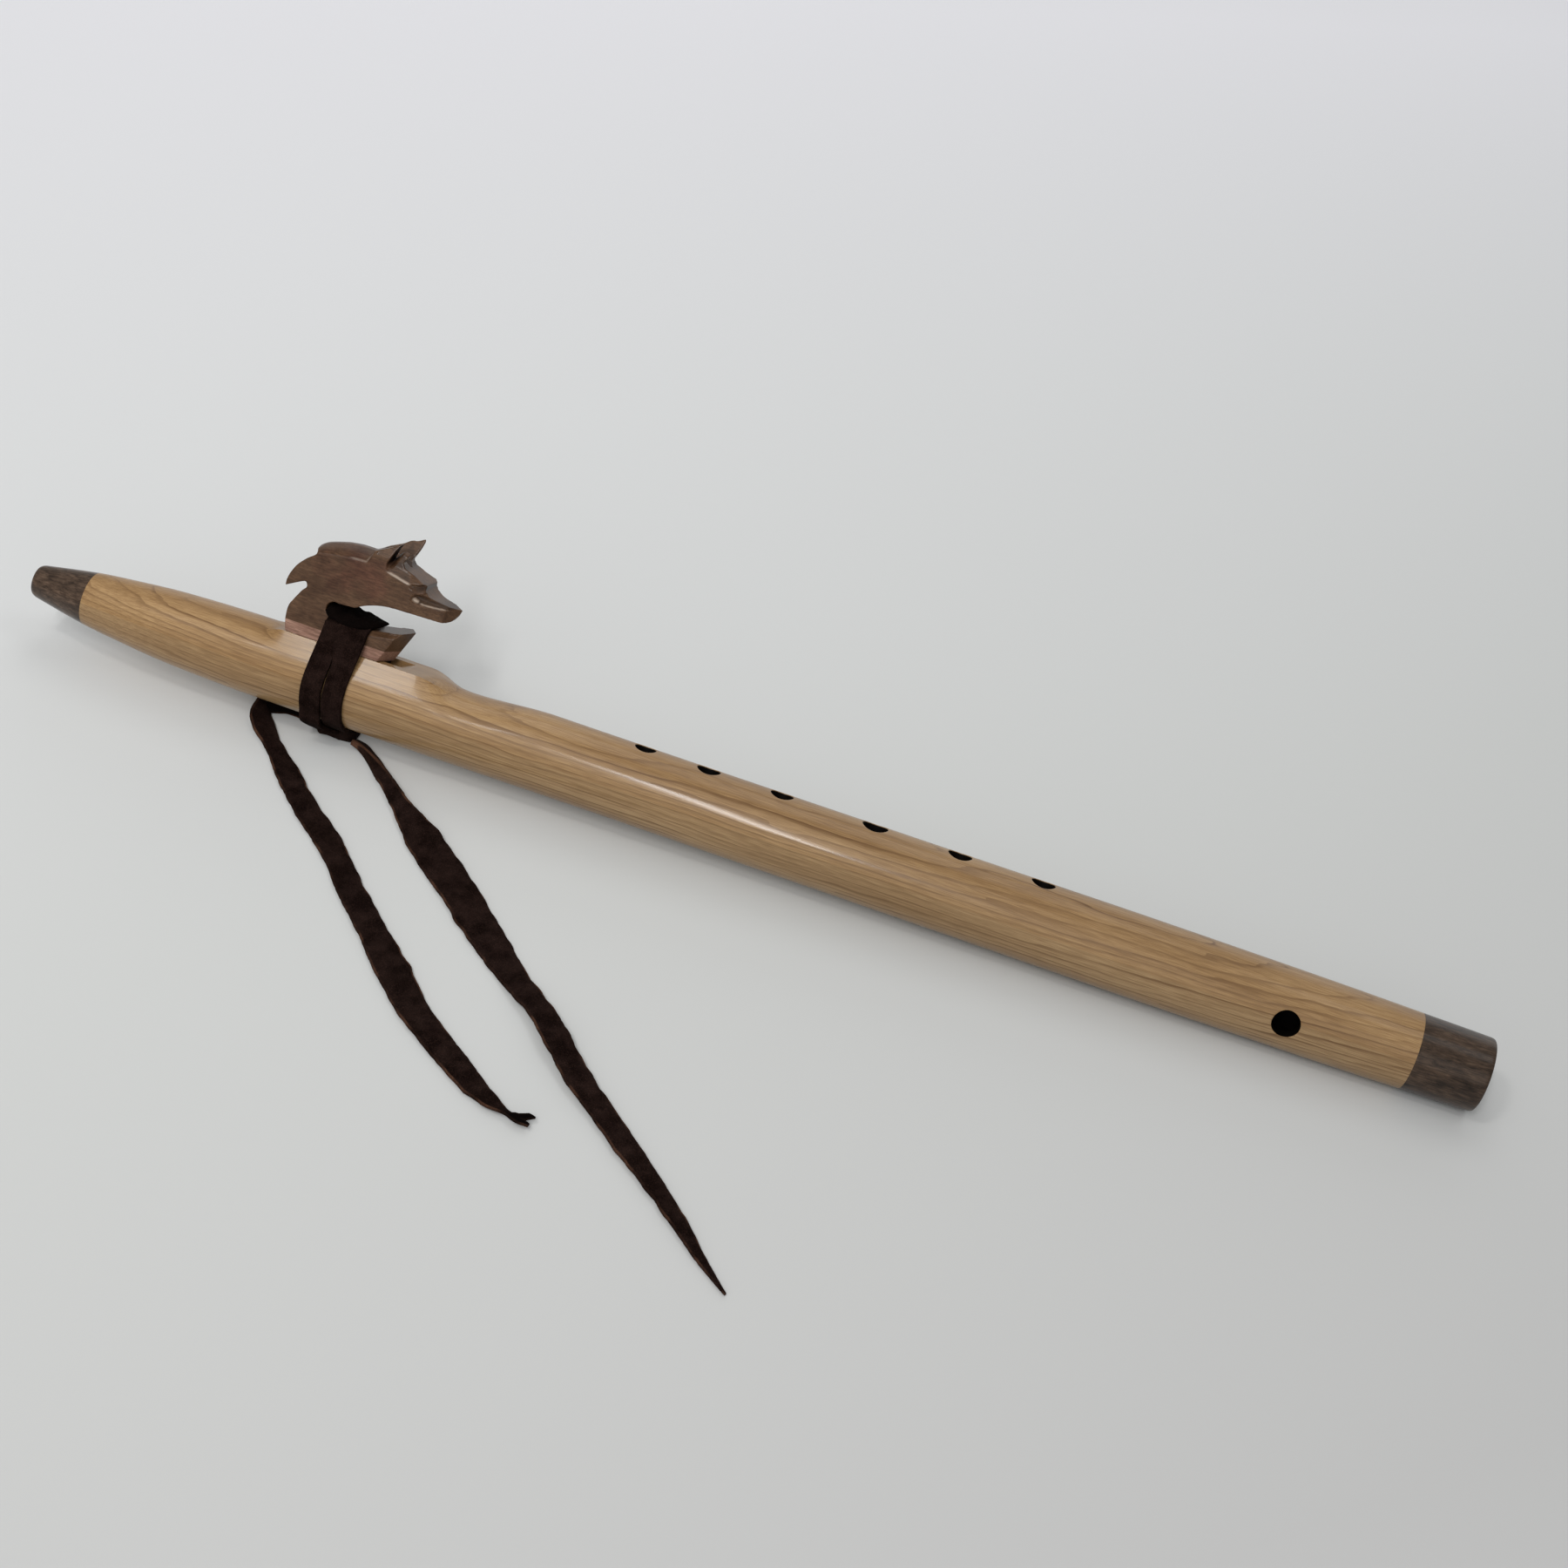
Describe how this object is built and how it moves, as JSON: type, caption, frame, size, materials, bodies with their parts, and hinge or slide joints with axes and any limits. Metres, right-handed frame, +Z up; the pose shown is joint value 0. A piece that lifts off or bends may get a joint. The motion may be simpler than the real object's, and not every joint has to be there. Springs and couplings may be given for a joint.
{
  "type": "native american flute",
  "caption": "Two-chamber end-blown wooden flute with a wolf head bird block tied over its flue by a leather lace with long tails.",
  "frame": {"origin": "centre of the flute's box on the table plane that it lies on, measured without the lace's free tails", "axes": "+X along the flute from the mouth end to the foot, +Z up from the table, finger holes and bird rolled 24 degrees towards +Y"},
  "size_m": [0.5842, 0.2387, 0.0816],
  "materials": {
    "cherry": "satin oiled cherry, straight grain on the sides and cathedral grain on top",
    "walnut": "satin dark walnut",
    "carved_walnut": "satin carved walnut with sanded edges",
    "base_wood": "satin reddish board",
    "deerskin": "matt dark brown suede with raw edges"
  },
  "bodies": {
    "flute": {"mouthpiece_cap": "walnut", "body_upper_half": "cherry", "body_lower_half": "cherry", "foot_cap": "walnut", "thong_winding": "deerskin", "thong_knot": "deerskin", "thong_tail_left": "deerskin", "thong_tail_right": "deerskin"},
    "bird": {"bird_base": "base_wood", "bird_carving": "carved_walnut"}
  },
  "joints": [
    {"name": "bird_slide", "type": "slide", "parent": "flute", "child": "bird", "axis": [0.9999, 0, -0.0151], "range_m": [-0.004, 0.001]}
  ]
}
